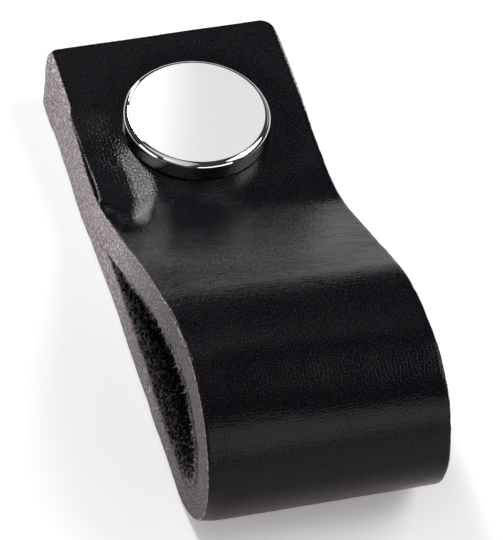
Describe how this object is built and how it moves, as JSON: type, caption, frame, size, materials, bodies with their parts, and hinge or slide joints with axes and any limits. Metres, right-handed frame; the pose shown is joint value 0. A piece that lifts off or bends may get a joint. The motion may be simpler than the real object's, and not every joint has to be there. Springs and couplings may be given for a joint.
{
  "type": "leather loop knob",
  "caption": "Leather strap folded into a finger loop, with a round flat metal button that screws to a drawer or door front.",
  "frame": {"origin": "middle of the knob's box on the plane that the back leaf lies on", "axes": "+Z out of the face that the knob is screwed to, +Y along the strap to the buttoned end, X across the strap"},
  "size_m": [0.026, 0.0686, 0.0212],
  "materials": {
    "leather": "black smooth grain, fuzzy black flesh side, raw mauve-grey cut edges",
    "polished_chrome": "mirror polished"
  },
  "bodies": {
    "root": {"strap": "leather", "button": "polished_chrome"}
  },
  "joints": []
}
